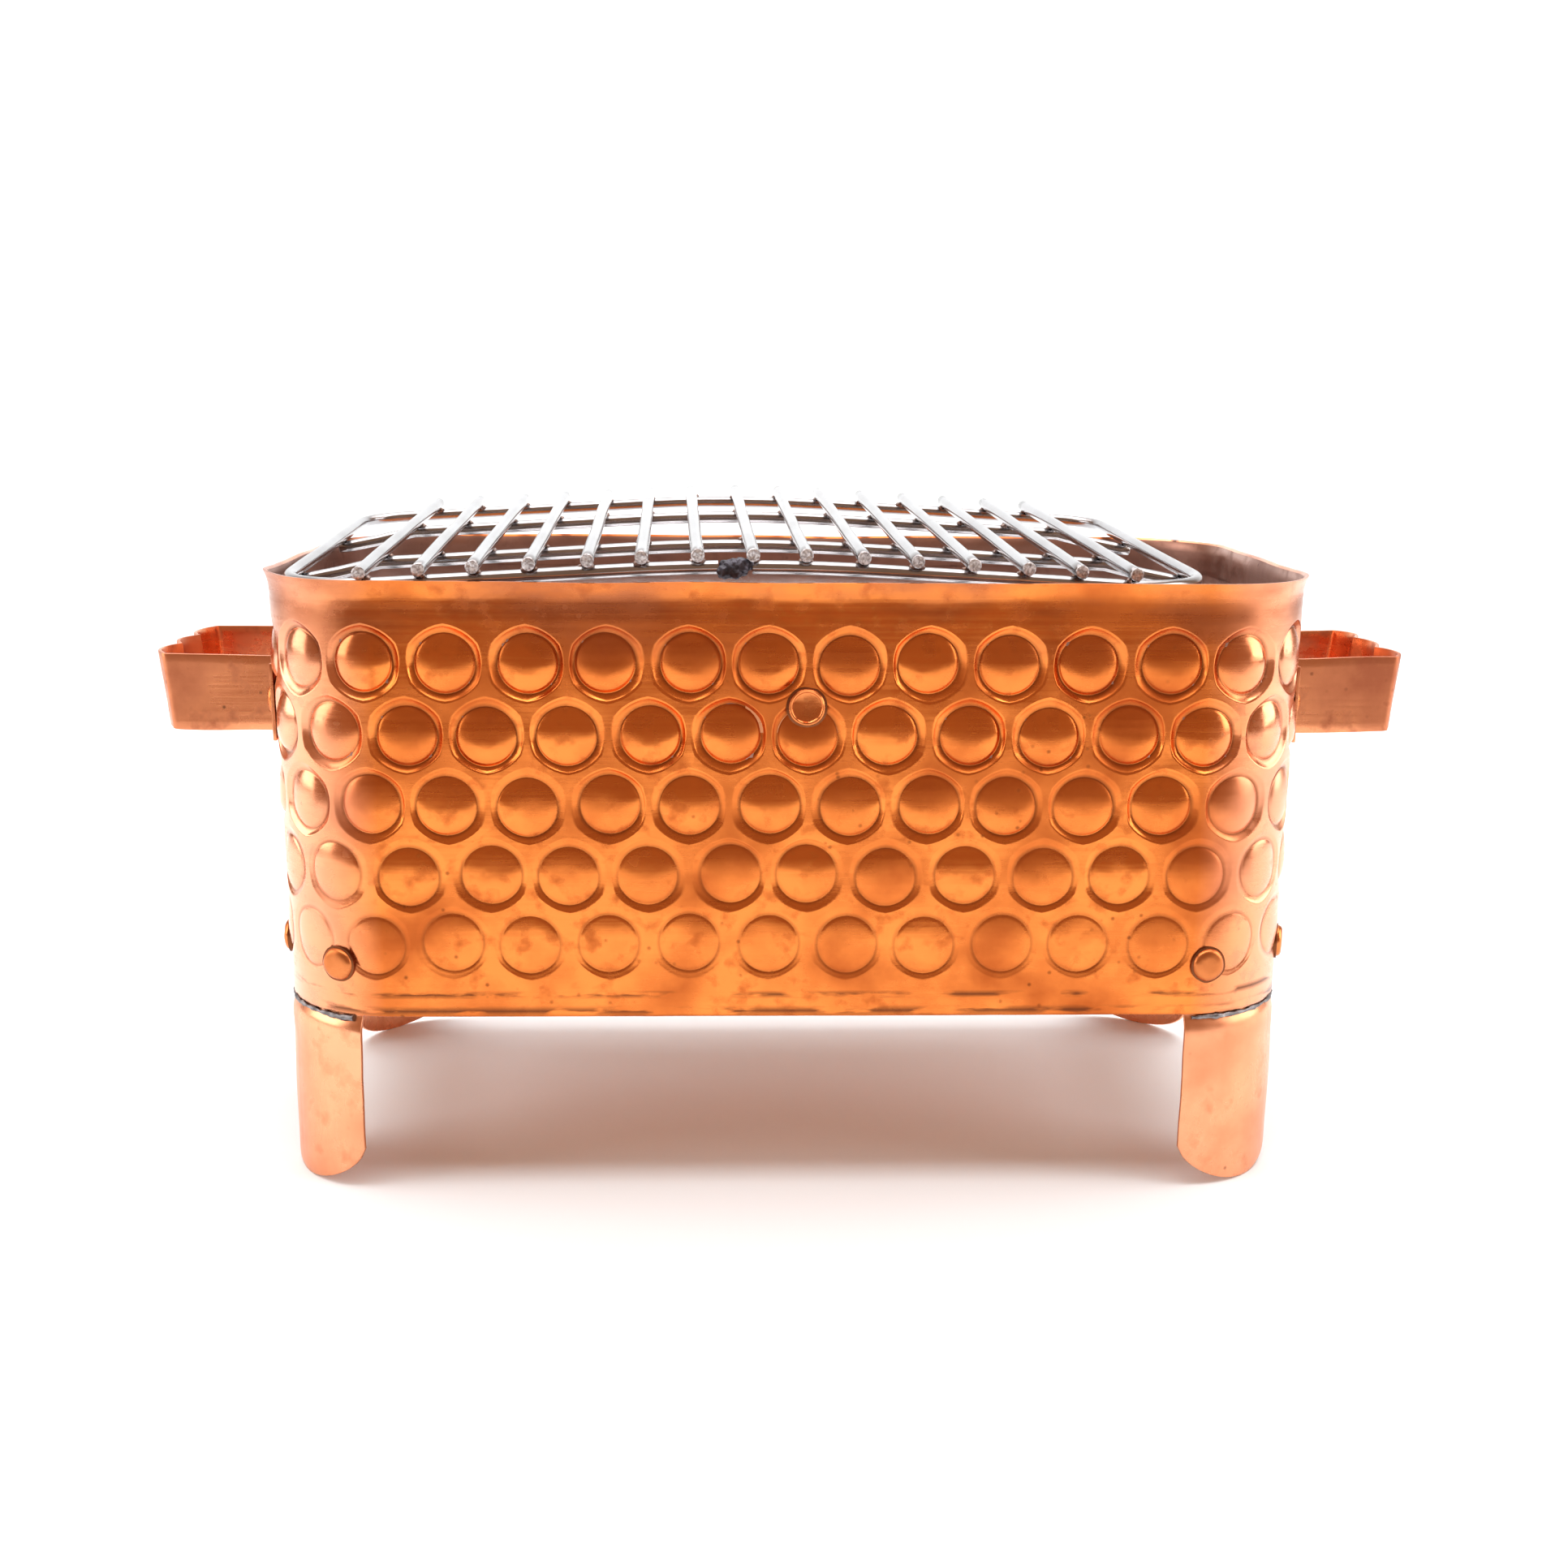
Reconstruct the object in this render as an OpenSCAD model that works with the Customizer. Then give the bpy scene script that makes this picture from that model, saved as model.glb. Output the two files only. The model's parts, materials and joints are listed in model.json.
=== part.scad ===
// Table-top fire pit: a hammered copper body on four curved legs, two strip
// handles, a lift-out fire pan and a lift-off steel wire grate.
// Millimetres, +Z up, origin on the table under the middle of the body.

/* [Body] */
// Length over the rim, side to side
body_length = 320; // [280:400]
// Depth over the rim, front to back
body_depth = 170; // [160:260]
// Height of the rim above the table
rim_height = 188; // [150:240]
// Height of the body's lower edge above the table
body_bottom = 56; // [40:80]
// Thickness of the copper sheet
sheet = 1.2; // [0.8:0.1:2]
// Radius of the upright corners, measured at the rim
corner_radius = 40; // [30:60]
// How much each side leans in from the lip down to the lower edge
side_taper = 1.9; // [0.5:0.1:4]
// Height of the turned-out lip
lip_height = 10; // [5:15]
// How far the lip turns out
lip_flare = 1.6; // [0.5:0.1:3]
// Height of the floor's turned-up edge
floor_edge = 9; // [5:15]

/* [Legs] */
// Thickness of the leg strip
leg_sheet = 1.5; // [1:0.1:3]
// Half of the angle that each leg wraps round its corner
leg_half_angle = 41; // [30:44]
// How far the leg's face stands out from the body
leg_proud = 0.5; // [0:0.1:1.5]
// Length of the tab that runs up inside the body
leg_tab = 32; // [26:40]
// Radius of the rounded foot
foot_radius = 28; // [26:40]
// Height of the leg rivets above the body's lower edge
leg_rivet_rise = 16; // [14:26]
// Angle from the middle of a leg to each of its rivets
leg_rivet_angle = 31; // [20:34]

/* [Rivets] */
// Radius of the leg and handle rivet heads
rivet_head = 5; // [4:0.5:7]
// Height of the rivet heads
rivet_height = 1.8; // [1:0.1:3]
// Radius of the rivet shanks
rivet_shank = 2.2; // [1.5:0.1:3]

/* [Handles] */
// Width of the handle strip
handle_strip = 24; // [16:30]
// Thickness of the handle strip
handle_sheet = 1.2; // [0.8:0.1:2]
// Distance that the handle stands out from the side
handle_reach = 41; // [26:45]
// Length of the handle loop along the side
handle_loop = 66; // [60:70]
// Drop from the rim to the middle of the handle
handle_drop = 41; // [36:60]
// Length of each handle foot
handle_foot = 18; // [14:20]
// How deep each hollow of the grip is
grip_depth = 3; // [2:0.5:5]

/* [Fire pan] */
// Drop from the rim to the top of the pan
pan_drop = 10.6; // [8:20]
// Thickness of the pan sheet
pan_sheet = 1; // [0.6:0.1:2]
// Gap between the pan and the wall
pan_gap = 0.8; // [0.5:0.1:2]
// Drop from the rim to the bracket rivets
bracket_rivet_drop = 36.5; // [28:0.5:45]
// Sideways place of the front bracket
front_bracket_shift = 4; // [-20:20]
// Width of each pan bracket
bracket_width = 36; // [20:60]

/* [Grate] */
// Diameter of the grate rod
rod = 4; // [3:0.5:6]
// Distance between the side rods of the frame
frame_width = 279; // [240:290]
// Distance between the front and back rods of the frame
frame_length = 180; // [160:190]
// Number of bars
bar_count = 15; // [9:19]
// Distance between neighbouring bars
bar_pitch = 16.1; // [12:0.1:20]
// Rise of the grate towards its middle ridge, in degrees
ridge_slope = 3.35; // [0:0.05:5]
// Rise of the grate towards the back, in degrees
grate_tilt = 2.4; // [2:0.1:4]
// Turn of the grate in the body, in degrees
grate_turn = 1.2; // [0:0.1:2]
// Sideways place of the grate in the body
grate_shift = -14; // [-15:15]

/* [Hidden] */
$fn = 96;
gap = 0.3;
touch = 0.05;
// corner centres are the same at every height; only the radius grows
corner_x = body_length / 2 - corner_radius;
corner_y = body_depth / 2 - corner_radius;
lip_z = rim_height - lip_height;
r_lip = corner_radius - lip_flare;
r_low = r_lip - side_taper;
lean = (r_lip - r_low) / (lip_z - body_bottom);
copper = [0.78, 0.45, 0.28];
dark_copper = [0.62, 0.34, 0.22];
steel = [0.72, 0.72, 0.74];
tin = [0.6, 0.61, 0.63];
// one turn per leg, the way the four are set round the corners
front_left_turn = 213;
front_right_turn = 312;
back_left_turn = 136;
back_right_turn = 52;
shoulder_z = body_bottom - 1;
leg_outer = r_low + leg_proud;
tab_outer = r_low - sheet - touch;
tab_top = body_bottom + leg_tab;
leg_rivet_z = body_bottom + leg_rivet_rise;
handle_z = rim_height - handle_drop;
handle_lean = atan(lean);
handle_base = corner_x + outer_radius(handle_z) + touch;
bend = 3;
ledge_top = rim_height - pan_drop - pan_sheet - gap;
bracket_sheet = 1.5;
bracket_rivet_z = rim_height - bracket_rivet_drop;
pan_top = rim_height - pan_drop;
pan_radius = inner_radius(pan_top) - pan_gap;
bracket_face = inner_radius(bracket_rivet_z - 8) - touch;
front_bend = 34;
back_bend = 14;
ridge_bend = 600;
ridge_half = ridge_bend * sin(ridge_slope);
ridge_run = (frame_width / 2 - ridge_half) / cos(ridge_slope);
ridge_z = (frame_width / 2 - ridge_half) * tan(ridge_slope)
          - ridge_bend * cos(ridge_slope);
bar_length = frame_length + 9;
bar_sit = rod + touch;
// the ridge arc is drawn a hair thinner and laps into the straight runs
lap = 0.04;
grate_z = rim_height + 0.3;
grate_y = 14;
weld_x = -5.5;
cross_front_y = -42;
cross_back_y = 38;
lug_x = 100;

// ---- shapes shared by several pieces ----

// outer corner radius of the wall at a height
function outer_radius(z) =
    z > lip_z ? r_lip + (z - lip_z) / lip_height * lip_flare
              : r_low + (z - body_bottom) * lean;
function inner_radius(z) = outer_radius(z) - sheet;

// rounded box whose sides lean: corner radius ra at za, rb at zb
module leaning_box(ra, rb, za, zb) {
    for (sx = [-1, 1], sy = [-1, 1])
        translate([sx * corner_x, sy * corner_y, za])
            cylinder(h = zb - za, r1 = ra, r2 = rb);
    rotate([90, 0, 90])
        translate([0, 0, -corner_x])
            linear_extrude(2 * corner_x)
                polygon([[-corner_y - ra, za], [corner_y + ra, za],
                         [corner_y + rb, zb], [-corner_y - rb, zb]]);
    rotate([90, 0, 0])
        translate([0, 0, -corner_y])
            linear_extrude(2 * corner_y)
                polygon([[-corner_x - ra, za], [corner_x + ra, za],
                         [corner_x + rb, zb], [-corner_x - rb, zb]]);
}

// children set at a corner, pointing outwards along +X
module at_corner(turn) {
    sx = cos(turn) > 0 ? 1 : -1;
    sy = sin(turn) > 0 ? 1 : -1;
    translate([sx * corner_x, sy * corner_y, 0]) rotate([0, 0, turn]) children();
}

// children set on the side of the body that faces the given turn
module on_side(turn) {
    rotate([0, 0, turn])
        translate([(turn % 180 == 0 ? corner_x : corner_y),
                   (turn == 270 ? front_bracket_shift : 0), 0])
            children();
}

// plain round hole along +X
module hole_x(r, from, to) {
    translate([from, 0, 0]) rotate([0, 90, 0]) cylinder(h = to - from, r = r);
}

// rivet along +X: tail disc, shank, head with a chamfered rim
module rivet(head, inside, outside) {
    translate([outside, 0, 0]) rotate([0, 90, 0]) {
        cylinder(h = rivet_height * 0.6, r = head);
        translate([0, 0, rivet_height * 0.6])
            cylinder(h = rivet_height * 0.4, r1 = head, r2 = head * 0.8);
    }
    hole_x(rivet_shank, inside - 0.5, outside + 0.5);
    translate([inside - 1, 0, 0]) rotate([0, 90, 0])
        cylinder(h = 1, r = rivet_shank + 1.3);
}

module at_leg_rivets(turn) {
    for (s = [-1, 1])
        at_corner(turn)
            rotate([0, 0, s * leg_rivet_angle])
                translate([0, 0, leg_rivet_z]) children();
}

module at_handle_rivets(turn) {
    on_side(turn)
        for (s = [-1, 1])
            translate([0, s * (handle_loop / 2 + handle_foot * 0.52), handle_z])
                children();
}

module at_bracket_rivet(turn) {
    on_side(turn) translate([0, 0, bracket_rivet_z]) children();
}

// ---- body ----

// section through the wall, measured outwards from a corner centre
module wall_profile() {
    polygon([[r_low, body_bottom], [r_lip, lip_z], [corner_radius, rim_height],
             [corner_radius - sheet, rim_height], [r_lip - sheet, lip_z],
             [r_low - sheet, body_bottom]]);
}

module body_wall() {
    color(copper)
    difference() {
        union() {
            for (sx = [0, 1], sy = [0, 1])
                mirror([sx, 0, 0]) mirror([0, sy, 0])
                    translate([corner_x, corner_y, 0])
                        rotate_extrude(angle = 90) wall_profile();
            for (m = [0, 1]) mirror([m, 0, 0])
                translate([corner_x, corner_y, 0])
                    rotate([90, 0, 0]) linear_extrude(2 * corner_y) wall_profile();
            for (m = [0, 1]) mirror([0, m, 0])
                translate([-corner_x, corner_y, 0])
                    rotate([90, 0, 90]) linear_extrude(2 * corner_x) wall_profile();
        }
        for (t = [front_left_turn, front_right_turn, back_left_turn, back_right_turn])
            at_leg_rivets(t) hole_x(rivet_shank, r_low - 10, r_low + 10);
        for (t = [0, 180])
            at_handle_rivets(t) hole_x(rivet_shank, r_low - 10, r_low + 10);
        for (t = [0, 90, 180, 270])
            at_bracket_rivet(t) hole_x(rivet_shank, r_low - 10, r_low + 10);
    }
}

// shallow tray soldered into the lower edge, notched for the leg tabs
module body_floor() {
    low = body_bottom + 1;
    top = low + floor_edge;
    r_a = inner_radius(low) - touch;
    r_b = inner_radius(top) - touch;
    color(dark_copper)
    difference() {
        leaning_box(r_a, r_b, low, top);
        translate([0, 0, low + sheet])
            leaning_box(r_a - sheet, r_b - sheet, 0, floor_edge + 1);
        for (t = [front_left_turn, front_right_turn, back_left_turn, back_right_turn])
            at_corner(t)
                rotate([0, 0, -leg_half_angle - 1])
                    rotate_extrude(angle = 2 * leg_half_angle + 2)
                        translate([tab_outer - leg_sheet - gap, low - 1])
                            square([leg_sheet + 4, floor_edge + 3]);
    }
}

// ---- legs ----

// strip bent round the corner, turned in at the shoulder, foot cut round
module leg(turn) {
    neck = shoulder_z - 4;
    color(copper)
    at_corner(turn)
    difference() {
        intersection() {
            rotate([0, 0, -leg_half_angle])
                rotate_extrude(angle = 2 * leg_half_angle)
                    polygon([[leg_outer, 0], [leg_outer, neck],
                             [tab_outer, shoulder_z], [tab_outer, body_bottom],
                             [tab_outer + leg_tab * lean, tab_top],
                             [tab_outer + leg_tab * lean - leg_sheet, tab_top],
                             [tab_outer - leg_sheet, body_bottom],
                             [tab_outer - leg_sheet, shoulder_z - 0.5],
                             [leg_outer - leg_sheet, neck - 0.5],
                             [leg_outer - leg_sheet, 0]]);
            rotate([90, 0, 90])
                linear_extrude(leg_outer + 10)
                    union() {
                        translate([0, foot_radius]) circle(r = foot_radius);
                        translate([-foot_radius, foot_radius])
                            square([2 * foot_radius, tab_top]);
                    }
        }
        for (s = [-1, 1])
            rotate([0, 0, s * leg_rivet_angle])
                translate([0, 0, leg_rivet_z])
                    hole_x(rivet_shank, r_low - 10, r_low + 10);
    }
}

module leg_rivets(turn) {
    color(copper)
    at_leg_rivets(turn)
        rivet(rivet_head, inner_radius(leg_rivet_z) - leg_sheet - 0.55,
              outer_radius(leg_rivet_z + rivet_head) + touch);
}

// line of solder between the leg's shoulder and the lower edge of the wall
module solder(turn) {
    span = leg_half_angle - 4;
    color(tin)
    at_corner(turn)
        rotate([0, 0, -span])
            rotate_extrude(angle = 2 * span)
                polygon([[r_low - 1.0, shoulder_z - 0.1], [r_low - 0.1, shoulder_z - 2.2],
                         [r_low - 0.1, body_bottom - touch],
                         [r_low - 1.0, body_bottom - touch]]);
}

// ---- handles ----

// part of a ring, between two angles
module ring_part(r, wide, from, to) {
    intersection() {
        difference() {
            circle(r = r);
            circle(r = r - wide);
        }
        reach = 2 * r;
        polygon([[0, 0], reach * [cos(from), sin(from)],
                 reach * [cos((from + to) / 2), sin((from + to) / 2)],
                 reach * [cos(to), sin(to)]]);
    }
}

// outline of the handle strip seen from above; the wall is at x = 0
module handle_path() {
    half = handle_loop / 2;
    out = handle_reach - grip_depth;
    lobe = (handle_loop + 2 * handle_sheet - 2 * bend) / 3;
    lobe_r = (lobe * lobe / 4 + grip_depth * grip_depth) / (2 * grip_depth);
    lobe_a = asin(lobe / 2 / lobe_r);
    for (s = [-1, 1]) scale([1, s]) {
        translate([0, half + bend]) square([handle_sheet, handle_foot - bend]);
        translate([bend, half + bend])
            ring_part(bend, handle_sheet, 180, 270);
        translate([bend, half]) square([out - 2 * bend, handle_sheet]);
        translate([out - bend, half - bend + handle_sheet])
            ring_part(bend, handle_sheet, 0, 90);
    }
    for (i = [-1, 0, 1])
        translate([out + grip_depth - lobe_r, i * lobe])
            ring_part(lobe_r, handle_sheet, -lobe_a - 1, lobe_a + 1);
}

module handle(turn) {
    color(copper)
    on_side(turn)
        difference() {
            translate([outer_radius(handle_z) + touch, 0, handle_z])
                rotate([0, handle_lean, 0])
                    translate([0, 0, -handle_strip / 2])
                        linear_extrude(handle_strip) handle_path();
            for (s = [-1, 1])
                translate([0, s * (handle_loop / 2 + handle_foot * 0.52), handle_z])
                    hole_x(rivet_shank, r_low - 10, r_low + 10);
        }
}

module handle_rivets(turn) {
    color(copper)
    at_handle_rivets(turn)
        rivet(rivet_head, inner_radius(handle_z - rivet_head) - touch,
              outer_radius(handle_z + rivet_head) + handle_sheet + 2 * touch);
}

// ---- pan brackets ----

// angle strip: riveted to the wall, ledge turned in at the top
module bracket(turn) {
    drop = ledge_top - bracket_rivet_z;
    color(dark_copper)
    on_side(turn)
        difference() {
            union() {
                translate([bracket_face - bracket_sheet, -bracket_width / 2,
                           bracket_rivet_z - 8])
                    cube([bracket_sheet, bracket_width, drop + 8]);
                translate([bracket_face - 16, -bracket_width / 2,
                           ledge_top - bracket_sheet])
                    cube([16, bracket_width, bracket_sheet]);
            }
            translate([0, 0, bracket_rivet_z])
                hole_x(rivet_shank, r_low - 10, r_low + 10);
        }
}

module bracket_rivet(turn) {
    color(copper)
    at_bracket_rivet(turn)
        rivet(rivet_head + 0.5, bracket_face - bracket_sheet - touch,
              outer_radius(bracket_rivet_z + rivet_head) + touch);
}

// ---- fire pan ----

module fire_pan() {
    color(steel)
    leaning_box(pan_radius, pan_radius, pan_top - pan_sheet, pan_top);
}

// upright tab on the pan that carries the front rod of the grate
module pan_lug(side) {
    x = side * lug_x + grate_shift;
    top = grate_z - (frame_length / 2) * sin(grate_tilt)
          + (frame_width / 2 - lug_x) * tan(ridge_slope) - rod / 2 - gap - 0.4;
    color(steel)
    translate([x - 6, grate_y - frame_length / 2 + side * lug_x * sin(grate_turn) - 0.5,
               pan_top + touch]) {
        cube([12, 1, top - pan_top - touch]);
        cube([12, 8, 1]);
    }
}

// ---- grate ----

module in_grate() {
    translate([grate_shift, grate_y, grate_z])
        rotate([grate_tilt, 0, grate_turn])
            children();
}

// round rod from a point, running along +X or +Y
module rod_x(len) { rotate([0, 90, 0]) cylinder(h = len, r = rod / 2); }
module rod_y(len) { rotate([-90, 0, 0]) cylinder(h = len, r = rod / 2); }

// quarter bend of rod round the origin
module rod_bend(r, from, angle) {
    rotate([0, 0, from])
        rotate_extrude(angle = angle) translate([r, 0]) circle(r = rod / 2);
}

// the rod along the ridge: arc across the middle of a front or back run
module ridge_arc() {
    translate([0, 0, ridge_z])
        rotate([90, 0, 0])
            rotate([0, 0, 90 - ridge_slope - lap])
                rotate_extrude(angle = 2 * (ridge_slope + lap))
                    translate([ridge_bend, 0]) circle(r = rod / 2 - 0.04);
}

// one flat half of the frame, hinged up from its side rod
module frame_half(s) {
    half = frame_length / 2;
    scale([s, 1, 1])
        translate([-frame_width / 2, 0, 0])
            rotate([0, -ridge_slope, 0]) {
                translate([0, -half + front_bend, 0])
                    rod_y(frame_length - front_bend - back_bend);
                translate([front_bend, -half + front_bend, 0])
                    rod_bend(front_bend, 180, 90);
                translate([back_bend, half - back_bend, 0])
                    rod_bend(back_bend, 90, 90);
                translate([front_bend, -half, 0]) rod_x(ridge_run - front_bend);
                translate([back_bend, half, 0]) rod_x(ridge_run - back_bend);
            }
}

module grate_frame() {
    color(steel)
    in_grate() {
        frame_half(1);
        mirror([1, 0, 0]) frame_half(1);
        for (y = [-1, 1]) translate([0, y * frame_length / 2, 0]) ridge_arc();
    }
}

// height of the frame rod at a distance from the ridge
function ridge_height(x) =
    abs(x) < ridge_half
        ? ridge_z + sqrt(ridge_bend * ridge_bend - x * x)
        : (frame_width / 2 - abs(x)) * tan(ridge_slope);

// lump of weld that joins the two ends of the frame rod
module frame_weld() {
    color(tin)
    in_grate()
        translate([weld_x, -frame_length / 2, ridge_height(weld_x)])
            difference() {
                rotate([0, 90, 0]) translate([0, 0, -5])
                    cylinder(h = 10, r = rod / 2 + 1.6);
                rotate([0, 90, 0]) translate([0, 0, -6])
                    cylinder(h = 12, r = rod / 2 + 0.25);
                translate([-7, -5, 1.5]) cube([14, 10, 5]);
            }
}

// one side of a cross rod: straight under the bars, then bent down so that its
// end passes under the side rod
module cross_half() {
    last = (bar_count - 1) / 2 * bar_pitch + 2;
    drop = ridge_height(last) + rod + 2 * touch;
    dip = atan(drop / (frame_width / 2 - last));
    translate([-last, 0, ridge_height(last)]) {
        rotate([0, -ridge_slope, 0])
            rod_x((last - ridge_half) / cos(ridge_slope));
        sphere(r = rod / 2 + 0.05);
        rotate([0, -dip, 0])
            translate([-(frame_width / 2 - last + 1.6) / cos(dip), 0, 0])
                rod_x((frame_width / 2 - last + 1.6) / cos(dip));
    }
}

module cross_rod(y) {
    color(steel)
    in_grate()
        translate([0, y, 0]) {
            ridge_arc();
            cross_half();
            mirror([1, 0, 0]) cross_half();
        }
}

module grate_bar(n) {
    x = (n - (bar_count + 1) / 2) * bar_pitch;
    color(steel)
    in_grate()
        translate([x, -bar_length / 2, ridge_height(x) + bar_sit])
            rod_y(bar_length);
}

// ---- named pieces ----

body_wall();
body_floor();
leg(front_left_turn);  // leg_front_left
leg(front_right_turn);  // leg_front_right
leg(back_left_turn);  // leg_back_left
leg(back_right_turn);  // leg_back_right
leg_rivets(front_left_turn);  // leg_rivets_front_left
leg_rivets(front_right_turn);  // leg_rivets_front_right
leg_rivets(back_left_turn);  // leg_rivets_back_left
leg_rivets(back_right_turn);  // leg_rivets_back_right
solder(front_left_turn);  // solder_front_left
solder(front_right_turn);  // solder_front_right
solder(back_left_turn);  // solder_back_left
solder(back_right_turn);  // solder_back_right
handle(180);  // handle_left
handle(0);  // handle_right
handle_rivets(180);  // handle_rivets_left
handle_rivets(0);  // handle_rivets_right
bracket(270);  // bracket_front
bracket(90);  // bracket_back
bracket(180);  // bracket_left
bracket(0);  // bracket_right
bracket_rivet(270);  // bracket_rivet_front
bracket_rivet(90);  // bracket_rivet_back
bracket_rivet(180);  // bracket_rivet_left
bracket_rivet(0);  // bracket_rivet_right
fire_pan();
pan_lug(-1);  // pan_lug_left
pan_lug(1);  // pan_lug_right
grate_frame();
frame_weld();
cross_rod(cross_front_y);  // cross_rod_front
cross_rod(cross_back_y);  // cross_rod_back
grate_bar(1);  // grate_bar_01
grate_bar(2);  // grate_bar_02
grate_bar(3);  // grate_bar_03
grate_bar(4);  // grate_bar_04
grate_bar(5);  // grate_bar_05
grate_bar(6);  // grate_bar_06
grate_bar(7);  // grate_bar_07
grate_bar(8);  // grate_bar_08
grate_bar(9);  // grate_bar_09
grate_bar(10);  // grate_bar_10
grate_bar(11);  // grate_bar_11
grate_bar(12);  // grate_bar_12
grate_bar(13);  // grate_bar_13
grate_bar(14);  // grate_bar_14
grate_bar(15);  // grate_bar_15
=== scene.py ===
# %% [markdown]
# # A hammered copper fire pit
# This lesson builds the looks of a small table-top fire pit round a plain solid model of it.
# The solid model fixes every size and every moving piece. The looks add what hammering,
# bending and welding leave behind: dimples, rounded sheet edges, weld beads, stains.

# %% Load the solid model
import bpy, bmesh, json, math, random
from mathutils import Matrix, Vector, noise

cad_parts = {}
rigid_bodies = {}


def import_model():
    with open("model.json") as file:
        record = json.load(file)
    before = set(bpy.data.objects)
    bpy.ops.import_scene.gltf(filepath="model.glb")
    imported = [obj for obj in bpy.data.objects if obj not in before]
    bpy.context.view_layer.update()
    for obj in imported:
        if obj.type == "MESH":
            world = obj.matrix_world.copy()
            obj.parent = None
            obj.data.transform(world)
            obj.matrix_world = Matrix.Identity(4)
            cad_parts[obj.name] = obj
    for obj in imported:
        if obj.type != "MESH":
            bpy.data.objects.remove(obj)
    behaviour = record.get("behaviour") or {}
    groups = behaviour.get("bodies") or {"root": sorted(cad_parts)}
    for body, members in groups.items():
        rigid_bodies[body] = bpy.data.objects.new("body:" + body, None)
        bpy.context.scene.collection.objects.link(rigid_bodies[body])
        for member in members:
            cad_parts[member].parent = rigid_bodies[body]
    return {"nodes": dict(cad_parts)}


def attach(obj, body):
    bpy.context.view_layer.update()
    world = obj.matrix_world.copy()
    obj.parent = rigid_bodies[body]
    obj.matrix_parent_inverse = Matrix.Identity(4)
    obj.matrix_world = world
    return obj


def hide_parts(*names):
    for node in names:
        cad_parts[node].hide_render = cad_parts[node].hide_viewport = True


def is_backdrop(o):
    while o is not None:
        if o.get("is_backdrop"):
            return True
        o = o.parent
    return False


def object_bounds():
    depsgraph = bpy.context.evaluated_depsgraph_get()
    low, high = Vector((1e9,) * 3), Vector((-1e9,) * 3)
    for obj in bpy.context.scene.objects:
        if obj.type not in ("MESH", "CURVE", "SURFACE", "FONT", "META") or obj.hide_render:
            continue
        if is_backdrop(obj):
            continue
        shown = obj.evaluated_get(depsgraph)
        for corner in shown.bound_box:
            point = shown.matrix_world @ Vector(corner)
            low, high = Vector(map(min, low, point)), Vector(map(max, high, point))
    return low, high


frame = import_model()
size_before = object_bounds()
MM = 0.001

# %% [markdown]
# Everything is worked out in millimetres and turned into metres when a mesh is made.
# A flat sheet is easiest to hammer, so the wall is drawn flat first and bent round later.

# %% Sizes shared by several pieces
CORNER_X, CORNER_Y = 120.0, 45.0     # corner centres
RIM, LOW, LIP = 188.0, 56.0, 178.0   # rim, lower edge and start of the lip
SHEET = 1.2

def corner_radius(z):
    """Outer corner radius of the wall at height z."""
    if z > LIP:
        t = (z - LIP) / (RIM - LIP)
        return 38.4 + 1.6 * t ** 4
    return 36.5 + (z - LOW) * 1.9 / (LIP - LOW)

# %% [markdown]
# The outline is walked anticlockwise from the middle of the back right corner, because
# that's where the two ends of the sheet meet.

# %% Walk the outline of the body
ARC = math.pi / 2 * 37.6
LEGS_OF_WALK = [("arc", 45, 90, ARC / 2, 1, 1), ("line", 90, 90, 2 * CORNER_X, 1, 1),
                ("arc", 90, 180, ARC, -1, 1), ("line", 180, 180, 2 * CORNER_Y, -1, 1),
                ("arc", 180, 270, ARC, -1, -1), ("line", 270, 270, 2 * CORNER_X, -1, -1),
                ("arc", 270, 360, ARC, 1, -1), ("line", 360, 360, 2 * CORNER_Y, 1, -1),
                ("arc", 0, 45, ARC / 2, 1, 1)]
AROUND = sum(leg[3] for leg in LEGS_OF_WALK)
FRONT_START = ARC * 2.5 + 2 * CORNER_X + 2 * CORNER_Y

def outline(s, radius):
    """Point and outward direction at distance s along the walk, for a corner radius."""
    s %= AROUND
    for kind, a0, a1, length, sx, sy in LEGS_OF_WALK:
        if s <= length or (kind == "arc" and a0 == 0):
            break
        s -= length
    a = math.radians(a0 + (a1 - a0) * s / length)
    out = Vector((math.cos(a), math.sin(a), 0))
    p = Vector((sx * CORNER_X, sy * CORNER_Y, 0)) + out * radius
    if kind == "line":
        p += Vector((-out.y, out.x, 0)) * s
    return p, out

print("round the body: %.0f mm" % AROUND)

# %% [markdown]
# The dimples stand in a honeycomb: thirty-eight round the body, five rows, every other row moved
# by half a step. They were struck over a form from inside, so each is a low dome inside a
# crisp ring, and the sheet between the rings slopes back out to the flat web.

# %% The dimple pattern
COUNT = 38
STEP = AROUND / COUNT
ROW_STEP = 21.2
DISC = 8.95
SHIFT = (FRONT_START + CORNER_X - 7.1) % STEP
ROWS = [(163.9, 1.0), (142.7, 0.95), (121.5, 0.7), (100.3, 0.45), (79.1, 0.2)]
DEEP, DOME = 1.4, 2.1

rng = random.Random(7)
dimples = {}
for r, (z, strength) in enumerate(ROWS):
    for c in range(COUNT):
        s = SHIFT + (c + 0.5 * (r % 2)) * STEP
        dimples[r, c] = (s, z, strength * rng.uniform(0.85, 1.12),
                         rng.uniform(-0.7, 0.7), rng.uniform(-0.6, 0.6))
print(len(dimples), "dimples,", "step %.2f mm" % STEP)

# %% [markdown]
# One dimple cell is made from a circle: insets give the rings of the dome, and edges
# extruded outwards give the rings of the slope, the last one stretched to a hexagon. Each
# point keeps how far it may move (its fade), for use when copies of the cell are varied.

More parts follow.
